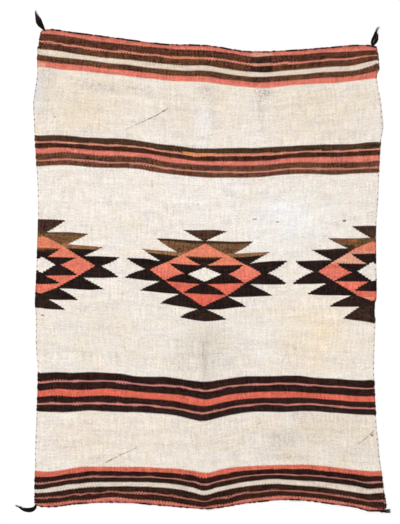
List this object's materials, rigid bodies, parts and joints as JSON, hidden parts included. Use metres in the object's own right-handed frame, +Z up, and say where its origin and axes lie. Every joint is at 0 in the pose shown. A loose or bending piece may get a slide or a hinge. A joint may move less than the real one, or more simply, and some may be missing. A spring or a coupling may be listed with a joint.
{
  "type": "navajo blanket",
  "caption": "Tapestry-woven wool blanket laid flat, with banded stripes, serrated diamonds, selvage cords and corner tassels.",
  "frame": {"origin": "on the surface that the blanket lies on, under the centre of the box around all of its pieces", "axes": "+X across the blanket to the right, +Y along it towards the end shown at the top, +Z up from the surface"},
  "size_m": [1.4042, 1.8826, 0.0092],
  "materials": {
    "woven_wool": "weft-faced handspun wool tapestry weave in cream, coral red, walnut brown and near black, matt",
    "selvage_cord": "two-ply near-black wool cord, matt",
    "tassel_yarn": "loose black wool yarn, slightly fuzzy"
  },
  "bodies": {
    "root": {"web": "woven_wool", "end_cord_top": "selvage_cord", "end_cord_bottom": "selvage_cord", "side_cord_left": "selvage_cord", "side_cord_right": "selvage_cord", "tassel_top_left": "tassel_yarn", "tassel_top_right": "tassel_yarn", "tassel_bottom_left": "tassel_yarn", "tassel_bottom_right": "tassel_yarn"}
  },
  "joints": []
}
